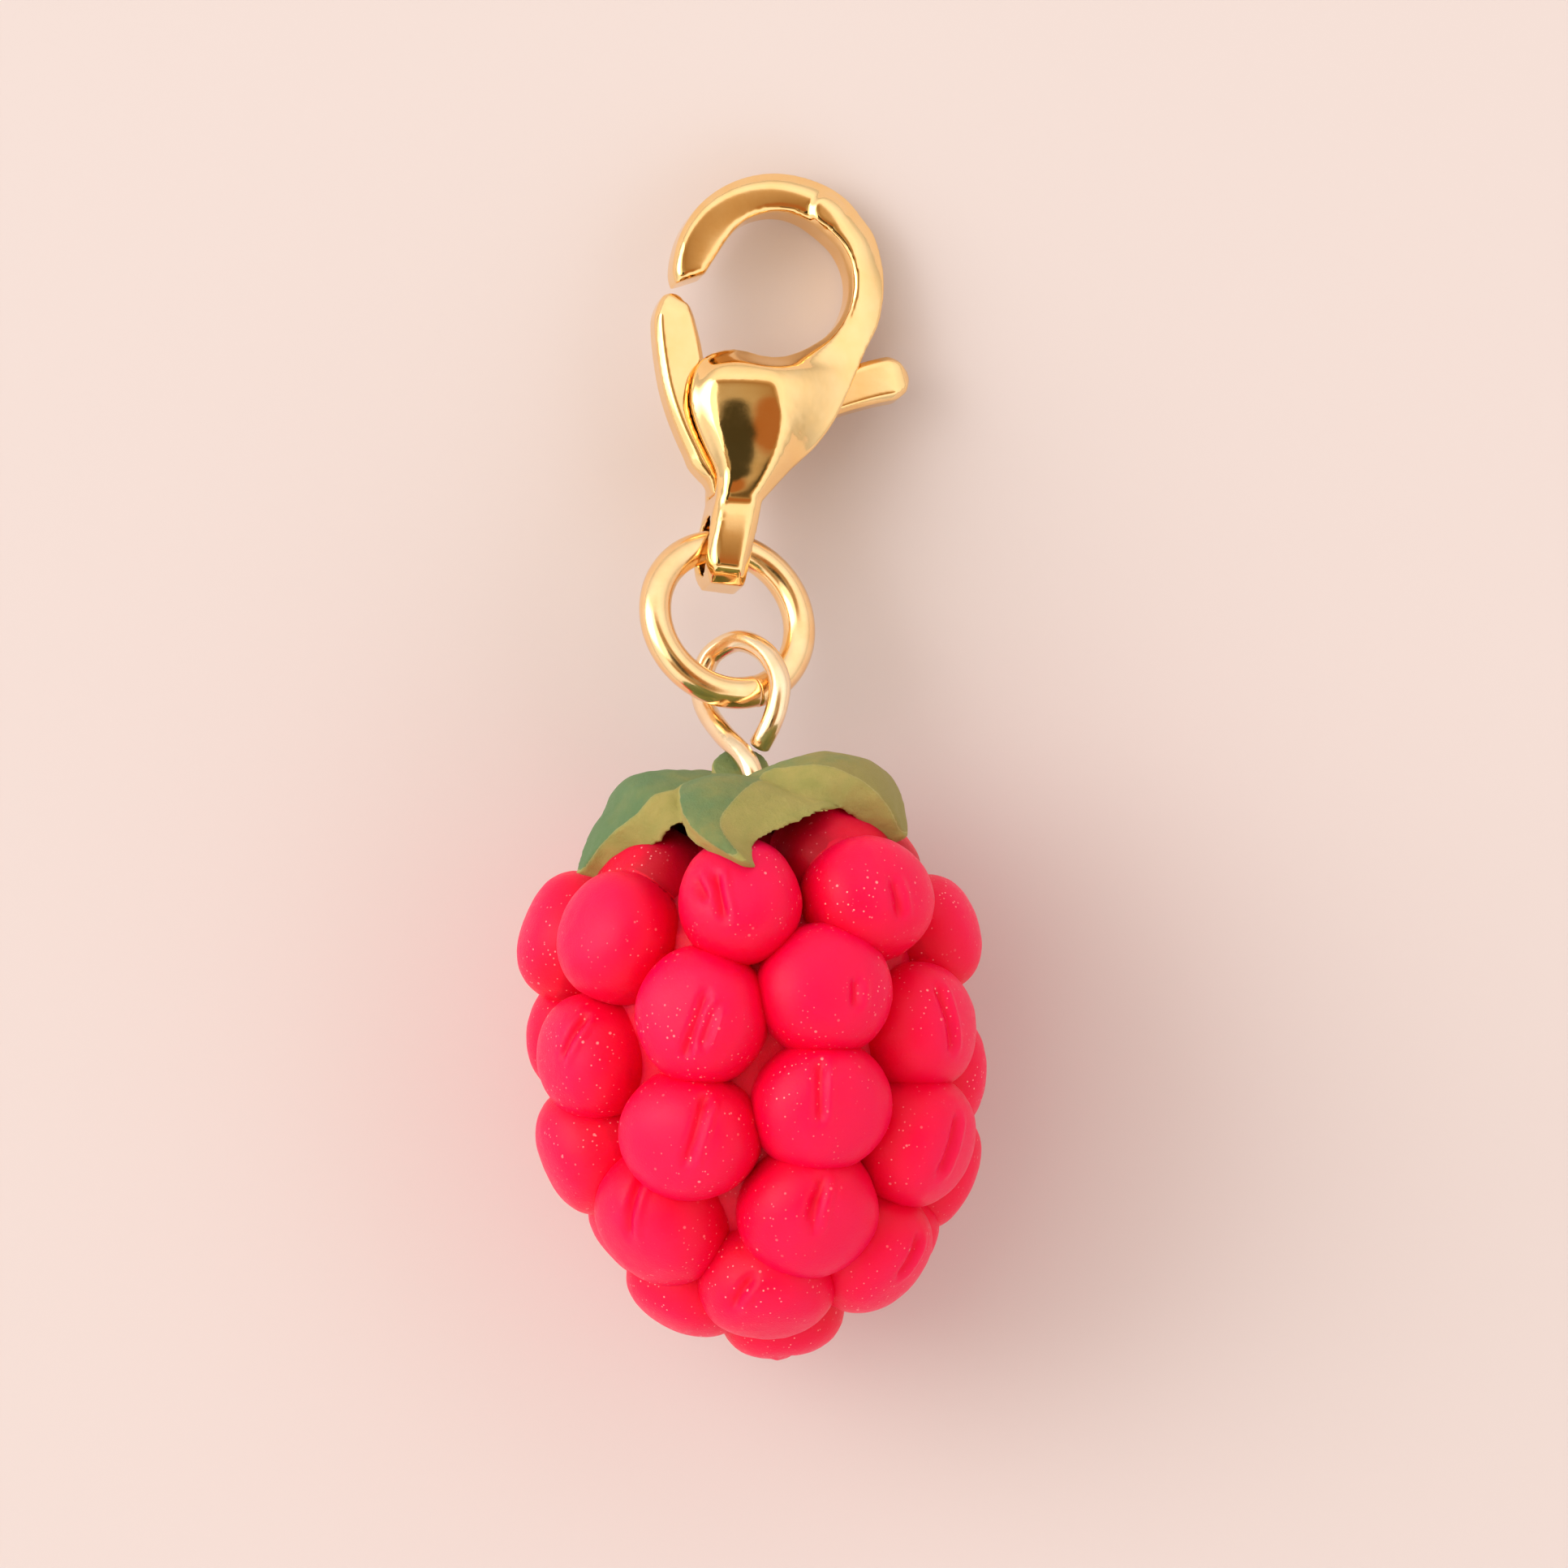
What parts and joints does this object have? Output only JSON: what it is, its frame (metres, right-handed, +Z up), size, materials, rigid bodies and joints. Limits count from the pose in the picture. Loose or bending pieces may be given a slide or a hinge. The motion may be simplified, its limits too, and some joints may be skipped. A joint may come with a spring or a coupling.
{
  "type": "raspberry charm with lobster clasp",
  "caption": "Clay raspberry charm: a red drupelet-covered berry with a green clay calyx, hung on a gold eye pin, jump ring and spring-gated lobster clasp.",
  "frame": {"origin": "centre of the charm's footprint on the surface that it lies on", "axes": "+Z up from the surface, +Y along the charm from the berry towards the clasp, +X to the right seen from above with the clasp at the top"},
  "size_m": [0.0129, 0.0331, 0.0121],
  "materials": {
    "red_clay": "satin, slightly translucent polymer clay",
    "green_clay": "matt polymer clay",
    "gold": "polished gold plating",
    "wire_gold": "polished pale gold wire",
    "steel": "plain spring steel"
  },
  "bodies": {
    "berry": {"berry": "red_clay", "calyx": "green_clay", "eye_pin": "wire_gold"},
    "ring": {"jump_ring": "gold"},
    "clasp": {"clasp_body": "gold", "pivot_pin": "steel", "gate_spring": "steel"},
    "gate": {"gate_lever": "gold"}
  },
  "joints": [
    {"name": "ring_swing", "type": "hinge", "parent": "berry", "child": "ring", "pos_m": [-0.00034, 0.00209, 0.0044], "axis": [0.9119, 0, -0.4104], "range_deg": [-60, 30]},
    {"name": "clasp_swing", "type": "hinge", "parent": "ring", "child": "clasp", "pos_m": [-0.0007, 0.00611, 0.00302], "axis": [0.9219, -0.1376, -0.3622], "range_deg": [-80, 90]},
    {"name": "gate_open", "type": "hinge", "parent": "clasp", "child": "gate", "pos_m": [-0.00028, 0.00881, 0.00244], "axis": [0.2079, 0.1648, 0.9642], "range_deg": [-30, 0], "stiffness_Nm_per_rad": 0.0001, "springref_deg": 22.92}
  ]
}
